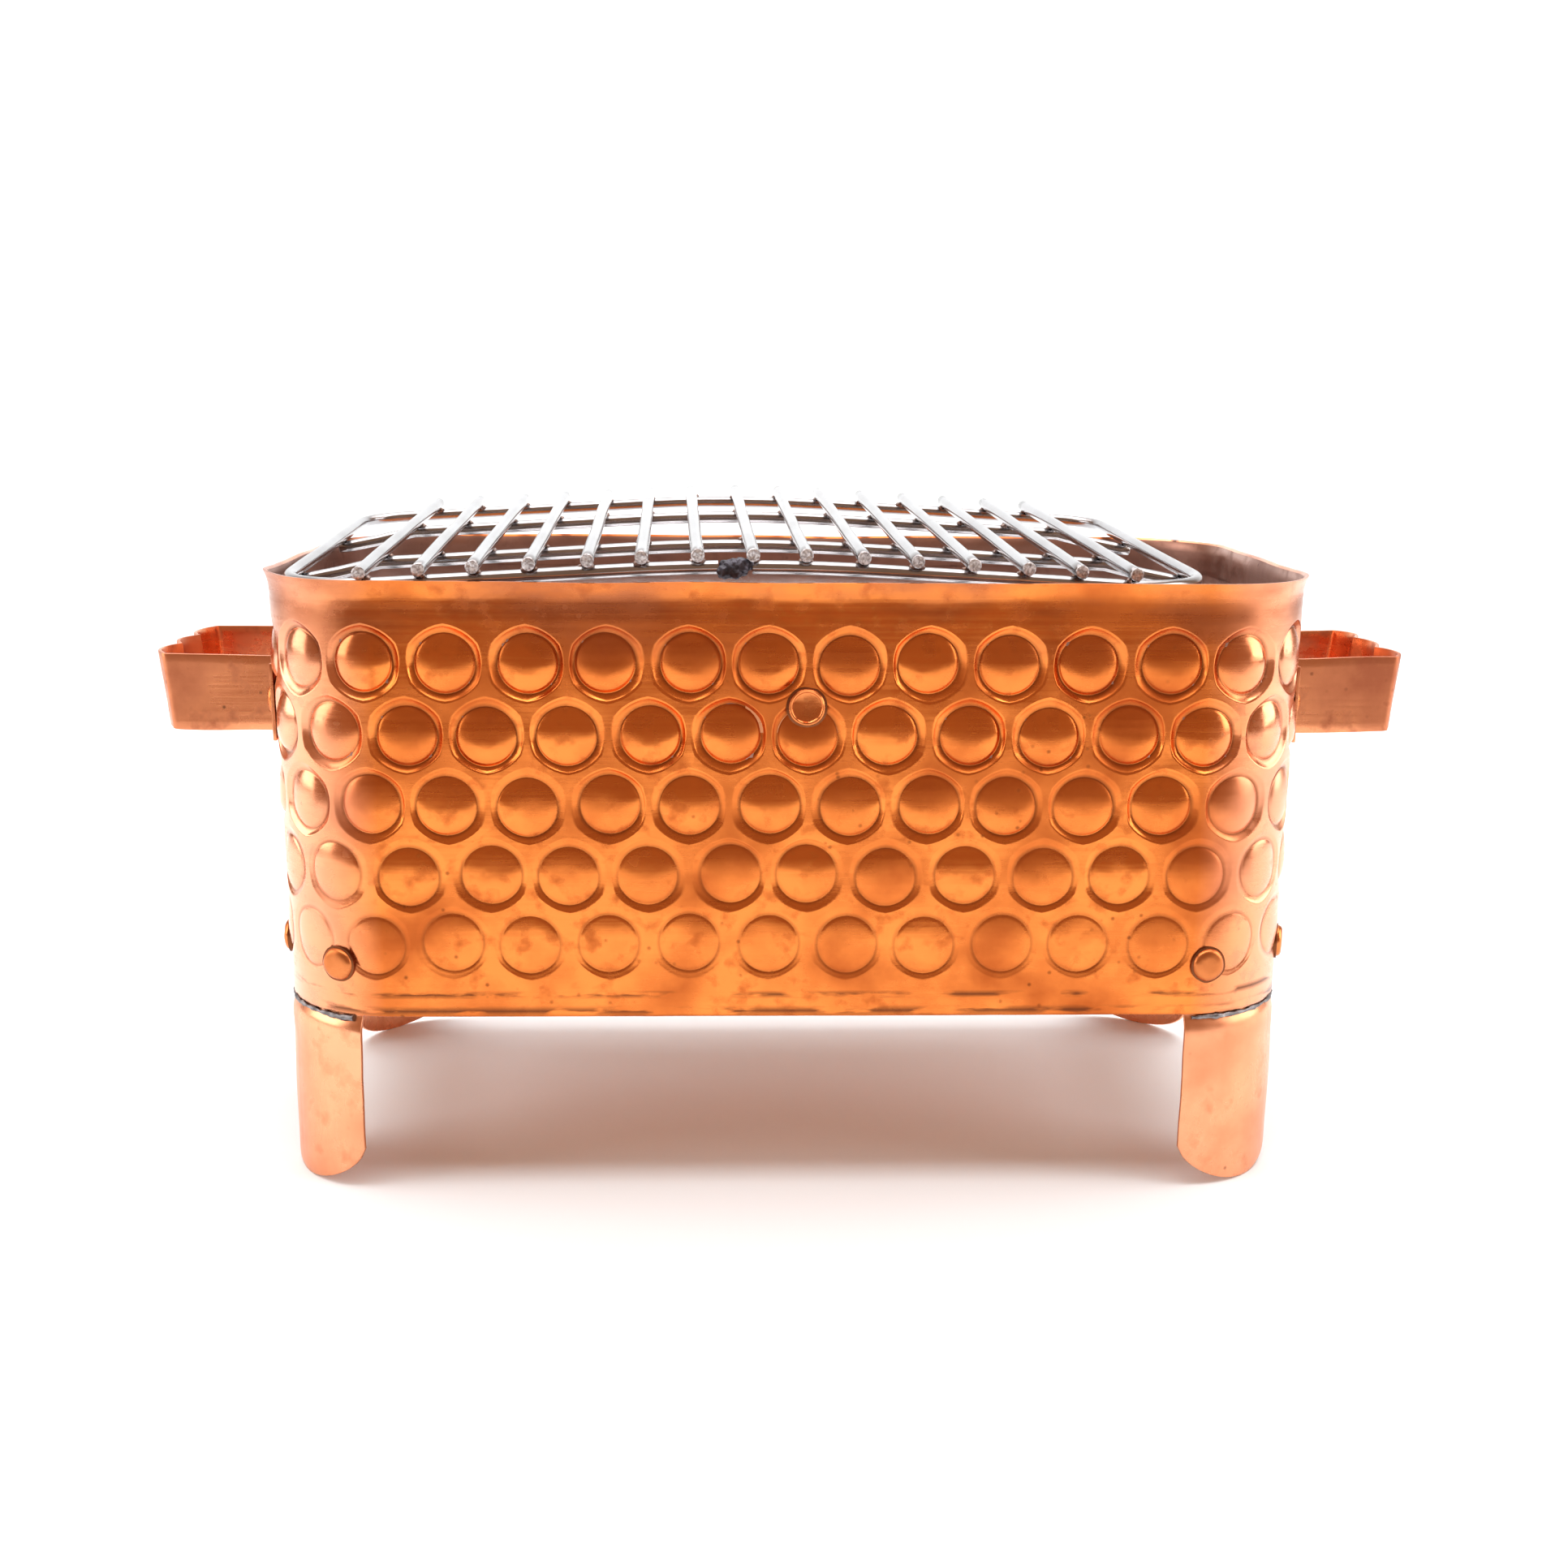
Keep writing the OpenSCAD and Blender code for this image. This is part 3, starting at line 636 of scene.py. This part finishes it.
for name, sign, seed in (("left", -1, 31), ("right", 1, 47)):
    handle = bmesh.new()
    points = [handle.verts.new((x, y, -12)) for x, y in LINE]
    edges = [handle.edges.new(pair) for pair in zip(points, points[1:])]
    for height in (-9, -5, -1.5, 1.5, 5, 9, 12):
        points, edges = new_points(bmesh.ops.extrude_edge_only(handle, edges=edges)["geom"])
        for v in points:
            v.co.z = height
    for v in handle.verts:
        x, y, z = v.co
        free = min(1, max(0, (x - 1) / 8))
        lean = 0.0156 + 0.09 * free * x / REACH
        v.co.x = x + z * lean + free * 0.5 * waviness(v.co, 24, seed)
        v.co.y = y + free * 0.6 * waviness(v.co, 30, seed + 5)
        v.co.z = GRIP_Z + z + free * 0.7 * waviness(v.co, 28, seed + 9) + free * x * 0.02
        v.co = Vector((sign * (BASE + v.co.x), v.co.y, v.co.z))
    bmesh.ops.recalc_face_normals(handle, faces=handle.faces)
    bmesh.ops.solidify(handle, geom=handle.faces, thickness=1.2)
    near = min(sign * v.co.x for v in handle.verts)
    bmesh.ops.translate(handle, vec=(sign * (BASE - 0.2 - near), 0, 0), verts=handle.verts)
    round_edges(handle, 0.3)
    piece("handle_looks_" + name, handle, "body", "handle_copper", [handle_copper],
          "handle_" + name)

# %% [markdown]
# Rivets are turned shapes: half a section spun right round. Hammering left the heads
# nearly flat, with a soft shoulder and a thin edge painted dark as the shade where the head
# meets the sheet. The four that hold the brackets have a thin lip.

# %% A way to turn one rivet
FLAT_HEAD = [(0, 1.75), (2.2, 1.85), (3.7, 1.75), (4.5, 1.35), (4.9, 0.8), (5.0, 0.45),
             (5.6, 0.3), (5.6, -1.0), (2.2, -1.0), (2.2, -3.6), (3.5, -3.6), (3.5, -4.4),
             (0, -4.4)]
LIP_HEAD = [(0, 1.3), (3.9, 1.35), (4.25, 1.45), (4.5, 1.85), (4.9, 2.0), (5.3, 1.75),
            (5.45, 1.2), (5.5, 0.6), (6.1, 0.4), (6.1, -1.2), (2.2, -1.2), (2.2, -4),
            (3.5, -4), (3.5, -4.8), (0, -4.8)]

def rivet(shape, section, place, outward, seed):
    """Turn one rivet, dent it a little and set it on the sheet, facing outwards."""
    one = bmesh.new()
    points = [one.verts.new((r, 0, h)) for r, h in section]
    chain = [one.edges.new(pair) for pair in zip(points, points[1:])]
    bmesh.ops.spin(one, geom=points + chain, cent=(0, 0, 0), axis=(0, 0, 1),
                   angle=math.tau, steps=40, use_merge=True)
    bmesh.ops.remove_doubles(one, verts=one.verts, dist=0.001)
    # The outer edge of the head takes the second, dark finish: painted shade where the head meets
    # the sheet.
    shade_from = max(r for r, h in section) - 0.5
    for face in one.faces:
        face.material_index = int(face.calc_center_median().xy.length > shade_from)
    tilt = Vector((waviness(place, 5, seed), waviness(place, 5, seed + 2)))
    for v in one.verts:
        if v.co.z > 0:
            v.co.z += 0.12 * waviness(v.co, 2.5, seed) + 0.05 * v.co.xy.dot(tilt)
            v.co.xy *= 1 + 0.05 * waviness(v.co, 4, seed + 6)
    turn = Matrix.Translation(place) @ outward.to_track_quat("Z", "Y").to_matrix().to_4x4()
    bmesh.ops.transform(one, matrix=turn, verts=one.verts)
    turned = bpy.data.meshes.new("rivet")
    one.to_mesh(turned)
    shape.from_mesh(turned)

def towards(degrees):
    return Vector((math.cos(math.radians(degrees)), math.sin(math.radians(degrees)), 0))

# %% [markdown]
# Each leg hangs on two rivets, and each foot of a handle on one. Those of a leg stand
# square to the curved corner, so each points its own way.

# %% Rivet the legs and handles
LEG_RIVET_Z, LEG_RIVET_TURN, HANDLE_RIVET_Y = 72, 31, 42.4

for name, turn in TURNS.items():
    pair = bmesh.new()
    for s in (-1, 1):
        out = towards(turn + LEG_RIVET_TURN * s)
        reach = corner_radius(LEG_RIVET_Z) + 0.25
        place = corner_axis(turn) + out * reach + Vector((0, 0, LEG_RIVET_Z))
        rivet(pair, FLAT_HEAD, place, out, turn + s)
    piece("rivets_leg_" + name, pair, "body", "rivet_copper", [rivet_copper, rivet_edge_shade],
          "leg_rivets_" + name)

for name, sign in (("left", -1), ("right", 1)):
    pair = bmesh.new()
    for y in (-HANDLE_RIVET_Y, HANDLE_RIVET_Y):
        place = Vector((sign * (CORNER_X + corner_radius(GRIP_Z) + 1.45), y, GRIP_Z))
        rivet(pair, FLAT_HEAD, place, Vector((sign, 0, 0)), y * sign)
    piece("rivets_handle_" + name, pair, "body", "rivet_copper", [rivet_copper, rivet_edge_shade],
          "handle_rivets_" + name)

# %% [markdown]
# The brackets that carry the pan each show one rivet outside. The front one sits a little
# off the middle, and all four lean back slightly in their holes.

# %% Rivet the brackets
BRACKET_RIVET_Z, FRONT_ASIDE, LEAN_BACK = 151.5, 4, 0.07

for name, turn in (("front", 270), ("back", 90), ("left", 180), ("right", 0)):
    one = bmesh.new()
    out = towards(turn)
    half = CORNER_X if turn in (0, 180) else CORNER_Y
    reach = half + corner_radius(BRACKET_RIVET_Z) + 0.2
    aside = FRONT_ASIDE if name == "front" else 0
    facing = (out + Vector((0, 0, LEAN_BACK))).normalized()
    rivet(one, LIP_HEAD, out * reach + Vector((aside, 0, BRACKET_RIVET_Z)), facing, turn)
    piece("rivet_bracket_" + name, one, "body", "rivet_copper", [rivet_copper, rivet_edge_shade],
          "bracket_rivet_" + name)

# %% [markdown]
# The fire pan is one flat sheet with rounded corners, never quite flat. A grid whose
# corners are drawn in to arcs gives an even mesh, so the gentle warp stays smooth.

# %% Make the fire pan
PAN_R, PAN_TOP = 36.35, 177.4
pan = bmesh.new()
bmesh.ops.create_grid(pan, x_segments=96, y_segments=56, size=1.0)
for v in pan.verts:
    half = Vector((CORNER_X + PAN_R, CORNER_Y + PAN_R))
    x, y = v.co.x * half.x, v.co.y * half.y
    dx, dy = abs(x) - CORNER_X, abs(y) - CORNER_Y
    if dx > 0 and dy > 0:
        shrink = max(dx, dy) / math.hypot(dx, dy)
        x = math.copysign(CORNER_X + dx * shrink, x)
        y = math.copysign(CORNER_Y + dy * shrink, y)
    warp = 0.45 * waviness(Vector((x, y, 0)), 70, 21) + 0.06 * waviness(Vector((x, y, 0)), 14, 5)
    v.co = Vector((x, y, PAN_TOP - 0.25 + warp))
bmesh.ops.solidify(pan, geom=pan.faces, thickness=1.0)
round_edges(pan, 0.25)
piece("pan_sheet", pan, "fire_pan", "pan_steel", [sheet_steel], "fire_pan")

# %% [markdown]
# The grate is drawn in its own frame, lying flat, then tilted, turned and set down with
# everything on it. Its height follows a low ridge along the middle.

# %% The grate's own frame
WIDE, LONG, SLOPE, RIDGE_R, ROD = 279.0, 180.0, math.radians(3.35), 600.0, 2.0
RIDGE_HALF = RIDGE_R * math.sin(SLOPE)
RIDGE_Z = (WIDE / 2 - RIDGE_HALF) * math.tan(SLOPE) - RIDGE_R * math.cos(SLOPE)
SET = (Matrix.Translation((-14, 14, 188.3)) @ Matrix.Rotation(math.radians(1.2), 4, "Z")
       @ Matrix.Rotation(math.radians(2.4), 4, "X"))

def ridge(x):
    if abs(x) < RIDGE_HALF:
        return RIDGE_Z + math.sqrt(RIDGE_R ** 2 - x * x)
    return (WIDE / 2 - abs(x)) * math.tan(SLOPE)

print("ridge height %.2f mm" % ridge(0))

# %% [markdown]
# A wire is a circle extruded from point to point along a path. It remembers how near each
# point is to a weld, for the browning. A sawn end is inset in rings and roughened.

# %% A way to draw wire
def rough_end(shape, cap, t, radius, seed):
    """Roughen the sawn end of a wire that points along t."""
    mid = cap[0].calc_center_median()
    for ring_width in (0.22, 0.55, 0.55):
        bmesh.ops.inset_individual(shape, faces=cap, thickness=ring_width)
    rough = bmesh.ops.poke(shape, faces=cap)["verts"][:]
    near = {v for v in shape.verts if (v.co - mid).length < radius * 0.95}
    for v in near | set(rough):
        v.co += t * (0.18 + 0.3 * noise.noise(v.co * 1.3 + Vector((seed, 0, 0))))
    for f in {f for v in near | set(rough) for f in v.link_faces}:
        f.material_index = 1

def rod(shape, path, radius, heat_at=(), segments=14, seed=0.0, rough_ends=True):
    """Draw a wire along a path, hot at some places."""
    heat = shape.verts.layers.float.get("heat") or shape.verts.layers.float.new("heat")
    way = [(b - a).normalized() for a, b in zip(path, path[1:])]
    way = [way[0]] + [(a + b).normalized() for a, b in zip(way, way[1:])] + [way[-1]]
    ring = bmesh.ops.create_circle(shape, segments=segments, radius=radius, cap_ends=False)
    points = ring["verts"]
    edges = list({e for v in points for e in v.link_edges})
    ends = []
    last = Matrix.Identity(4)
    for k, (p, t) in enumerate(zip(path, way)):
        up = Vector((0, 0, 1)) if abs(t.z) < 0.9 else Vector((0, 1, 0))
        right = t.cross(up).normalized()
        now = Matrix.Translation(p) @ Matrix((right, t.cross(right), t)).transposed().to_4x4()
        if k:
            points, edges = new_points(bmesh.ops.extrude_edge_only(shape, edges=edges)["geom"])
        bmesh.ops.transform(shape, matrix=now @ last.inverted(), verts=points)
        last = now
        for v in points:
            v[heat] = max([0] + [1 - (p - h).length / 5.0 for h in heat_at])
        if k in (0, len(path) - 1):
            ends.append(list(edges))
    for loop, t in zip(ends, (-way[0], way[-1])):
        cap = bmesh.ops.contextual_create(shape, geom=loop)["faces"]
        if rough_ends and cap:
            rough_end(shape, cap, t, radius, seed)

# %% [markdown]
# The frame is one wire bent round and welded shut at the front. Half of it is drawn and
# mirrored, and the walk then starts and ends at the weld. A slow wobble bends it a hair
# out of true, as hand-bent wire is.

# %% Bend the frame
def half_frame():
    """The right half of the frame, from the middle of the back to the middle of the front."""
    x, y = WIDE / 2, LONG / 2
    back = [(k * 11.0, y) for k in range(12)]
    corner = [(x - 14 + 14 * math.sin(a), y - 14 + 14 * math.cos(a))
              for a in (math.pi / 2 * k / 8 for k in range(9))]
    side = [(x, y - 14 - 9.4 * k) for k in range(1, 14)]
    bend = [(x - 34 + 34 * math.cos(a), -y + 34 - 34 * math.sin(a))
            for a in (math.pi / 2 * k / 12 for k in range(13))]
    front = [(k * 10.0, -y) for k in range(10, -1, -1)]
    return back[:-1] + corner + side + bend + front

def lift(x, y, up=0.0):
    return Vector((x, y, ridge(x) + up))

right = [lift(x, y) for x, y in half_frame()]
left = [Vector((-p.x, p.y, p.z)) for p in reversed(right)]
WELD_X = -5.5
start_at = min(range(len(left)),
               key=lambda k: abs(left[k].x - WELD_X) + abs(left[k].y + LONG / 2))
loop = left[start_at:] + right[1:] + [p for p in left[:start_at] if p.x < WELD_X]

def wobble(p, seed):
    return Vector((waviness(p, 60, seed), waviness(p, 60, seed + 3),
                   0.5 * waviness(p, 50, seed + 6)))

BAR_X = [(n - 7) * 16.1 for n in range(15)]
CROSS_Y = (-42.0, 38.0)

frame_wire = bmesh.new()
joints = [lift(x, y, 2) for x in BAR_X for y in (-LONG / 2, LONG / 2)]
joints += [lift(s * WIDE / 2, y) for s in (-1, 1) for y in CROSS_Y]
path = [p + 0.35 * wobble(p, 5) for p in loop]
rod(frame_wire, path, ROD, joints, rough_ends=False)
bmesh.ops.transform(frame_wire, matrix=SET, verts=frame_wire.verts)
piece("frame_wire", frame_wire, "grate", "grate_steel", [wire], "grate_frame", sharp=50)

# %% [markdown]
# The two cross wires run under the bars, and their ends dip below the frame's sides, where
# they are welded.

# %% Bend the cross wires
DIP = -2 * ROD - 0.1

for name, y, seed in (("front", CROSS_Y[0], 3), ("back", CROSS_Y[1], 8)):
    cross = bmesh.new()
    ends = [(-141.0, DIP), (-138, DIP * 0.93), (-127, -1.6), (-118, 0.6)]
    flat_run = [lift(x, y) for x in (-114.7, *range(-112, 113, 8), 114.7)]
    path = ([Vector((x, y, z)) for x, z in ends] + flat_run
            + [Vector((-x, y, z)) for x, z in reversed(ends)])
    path = [p + 0.3 * wobble(p, seed) for p in path]
    rod(cross, path, ROD, [lift(x, y, 2) for x in BAR_X] + [path[1], path[-2]], seed=seed)
    bmesh.ops.transform(cross, matrix=SET, verts=cross.verts)
    piece("cross_wire_" + name, cross, "grate", "grate_steel", [wire, sawn],
          "cross_rod_" + name, sharp=50)

# %% [markdown]
# The bars are straight lengths of the same wire, sawn off past the frame. Each is a hair
# out of line, as hand-set bars are. Where a bar crosses another wire, two small nuggets of
# weld are squashed in beside it.

# %% Lay the bars
rng = random.Random(12)
nuggets = bmesh.new()
for n, x in enumerate(BAR_X, 1):
    bar = bmesh.new()
    up = 2 * ROD + 0.05
    near, far = -94.5 + rng.uniform(-0.8, 0.8), 94.5 + rng.uniform(-0.8, 0.8)
    skew, slide = rng.uniform(-0.5, 0.5), rng.uniform(-0.35, 0.35)
    path = []
    for k in range(25):
        y = near + (far - near) * k / 24
        p = lift(x, y, up) + Vector((slide + skew * y / 94, 0, 0))
        path.append(p + 0.25 * wobble(p, n * 3))
    hot = [lift(x, y, up) for y in (-LONG / 2, *CROSS_Y, LONG / 2)]
    rod(bar, path, ROD, hot, seed=n)
    bmesh.ops.transform(bar, matrix=SET, verts=bar.verts)
    piece("bar_%02d" % n, bar, "grate", "grate_steel", [wire, sawn], "grate_bar_%02d" % n,
          sharp=50)
    for place in hot:
        for side in (-1, 1):
            size = rng.uniform(0.7, 1.35)
            spot = place + Vector((side * rng.uniform(1.0, 1.5), rng.uniform(-1.2, 1.2), -2.1))
            first = len(nuggets.verts)
            bmesh.ops.create_icosphere(nuggets, subdivisions=2, radius=size,
                                       matrix=Matrix.Translation(spot))
            nuggets.verts.ensure_lookup_table()
            for v in nuggets.verts[first:]:
                v.co += (v.co - spot) * 0.5 * waviness(v.co, 0.9, n)
                v.co.z = spot.z + (v.co.z - spot.z) * 0.75
bmesh.ops.transform(nuggets, matrix=SET, verts=nuggets.verts)
piece("weld_spots", nuggets, "grate", "weld_steel", [nugget], sharp=70)

# %% [markdown]
# The join in the frame is a heavy dark blob: a ball stretched along the wire, roughened at
# two sizes, with a few drips run together on it.

# %% Build up the frame's weld
blob = bmesh.new()
centre = lift(WELD_X, -LONG / 2)
for offset, size in (((0, 0, -0.4), (4.2, 3.1, 2.9)), ((-2.6, -0.9, -1.2), (2.3, 2.5, 2.3)),
                     ((2.6, -0.6, 0.5), (2.5, 2.6, 2.3)), ((0.8, -1.6, -1.5), (2.2, 1.8, 1.8)),
                     ((4.6, -0.3, 0.9), (1.7, 2.0, 1.6))):
    first = len(blob.verts)
    bmesh.ops.create_icosphere(blob, subdivisions=4, radius=1.0)
    blob.verts.ensure_lookup_table()
    for v in blob.verts[first:]:
        p = Vector((v.co.x * size[0], v.co.y * size[1], v.co.z * size[2])) + Vector(offset)
        rough = 1 + 0.24 * noise.noise(p * 0.7) + 0.13 * noise.noise(p * 1.9)
        v.co = centre + Vector(offset) + (p - Vector(offset)) * rough
bmesh.ops.transform(blob, matrix=SET, verts=blob.verts)
piece("frame_weld_looks", blob, "grate", "weld_steel", [weld], "frame_weld", sharp=70)

# %% [markdown]
# The plain pieces keep their solid shapes and only take a finish.

# %% Finish the plain pieces
plain = {"body_floor": floor_copper, "pan_lug_left": sheet_steel, "pan_lug_right": sheet_steel,
         "bracket_front": bracket_copper, "bracket_back": bracket_copper,
         "bracket_left": bracket_copper, "bracket_right": bracket_copper}
for name, mat in plain.items():
    node = frame["nodes"][name]
    node.data.materials.clear()
    node.data.materials.append(mat)
print("plain pieces:", len(plain))

# %% [markdown]
# The pit stands on a white table that curves up behind it. Polished copper shows what is
# round it, so the table's front edge matters: below it the wall shows white table, and
# above it the dim room.

# %% The table
def stage_piece(name, shape, colour):
    mesh = bpy.data.meshes.new(name)
    shape.to_mesh(mesh)
    shape.free()
    for polygon in mesh.polygons:
        polygon.use_smooth = True
    mat = bpy.data.materials.new(name)
    mat.use_nodes = True
    shader = mat.node_tree.nodes["Principled BSDF"]
    shader.inputs["Base Color"].default_value = colour
    shader.inputs["Roughness"].default_value = 0.9
    shader.inputs["Specular IOR Level"].default_value = 0.0
    mesh.materials.append(mat)
    obj = bpy.data.objects.new(name, mesh)
    bpy.context.collection.objects.link(obj)
    obj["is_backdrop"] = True

TABLE_HALF, FRONT_EDGE = 2.0, -0.69
table = bmesh.new()
side_view = [(FRONT_EDGE, 0)] + arc(1.2, 0.5, 0.5, -90, 0, 24) + [(1.7, 2.2)]
points = [table.verts.new((-TABLE_HALF, y, z)) for y, z in side_view]
edges = [table.edges.new(pair) for pair in zip(points, points[1:])]
points, edges = new_points(bmesh.ops.extrude_edge_only(table, edges=edges)["geom"])
bmesh.ops.translate(table, vec=(2 * TABLE_HALF, 0, 0), verts=points)
stage_piece("table", table, (0.85, 0.92, 0.96, 1))

# %% [markdown]
# A large soft light hangs overhead, and smaller ones stand at the sides, behind and in
# front. The room is dim and warm, which gives polished metal its dark parts.

# %% The lights and the room
def soft_light(name, place, aim, size, power, colour=(1, 1, 1)):
    data = bpy.data.lights.new(name, "AREA")
    data.shape = "RECTANGLE"
    data.size, data.size_y = size
    data.energy = power
    data.color = colour
    obj = bpy.data.objects.new(name, data)
    obj.location = place
    obj.rotation_euler = (Vector(aim) - Vector(place)).to_track_quat("-Z", "Y").to_euler()
    bpy.context.collection.objects.link(obj)

soft_light("overhead", (0, 0.25, 1.5), (0, 0.2, 0), (2.4, 1.9), 28)
soft_light("left side", (-1.3, -0.15, 0.55), (0, 0, 0.1), (1.0, 0.9), 8.4)
soft_light("right side", (1.3, -0.15, 0.55), (0, 0, 0.1), (1.0, 0.9), 9.6)
soft_light("behind", (0, 0.5, 1.9), (0, 1.6, 0.7), (2.2, 0.6), 22)
soft_light("in front", (0, -0.4, 1.5), (0, -0.35, 0), (2.0, 0.4), 6.5)

world = bpy.data.worlds.new("dim room")
world.use_nodes = True
world.node_tree.nodes["Background"].inputs["Color"].default_value = (0.42, 0.25, 0.16, 1)
bpy.context.scene.world = world
bpy.context.scene.view_settings.view_transform = "Standard"

print("lights:", len(bpy.data.lights))

# %% [markdown]
# The view is from a little above the rim, close in, turned and rolled by a degree or two.

# %% The view
EYE = (-0.02179, -0.63419, 0.24548)
data = bpy.data.cameras.new("view")
data.lens, data.sensor_width = 43.86, 36
data.clip_start = 0.05
camera = bpy.data.objects.new("view", data)
down, yaw, roll = (math.radians(a) for a in (11.984, 2.0, 0.472))
ahead = Vector((math.sin(yaw) * math.cos(down), math.cos(yaw) * math.cos(down),
                -math.sin(down)))
level = Vector((math.cos(yaw), -math.sin(yaw), 0))
above = level.cross(ahead)
across = level * math.cos(roll) + above * math.sin(roll)
upward = above * math.cos(roll) - level * math.sin(roll)
camera.matrix_world = (Matrix.Translation(EYE)
                       @ Matrix((across, upward, -ahead)).transposed().to_4x4())
bpy.context.collection.objects.link(camera)
bpy.context.scene.camera = camera

# %% [markdown]
# Last, the size of the whole is measured again, beside the size of the solid model.

# %% Measure and finish
size_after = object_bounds()
for label, (low, high) in (("solid", size_before), ("looks", size_after)):
    print(label, ["%.1f" % (v * 1000) for v in (*low, *high)])
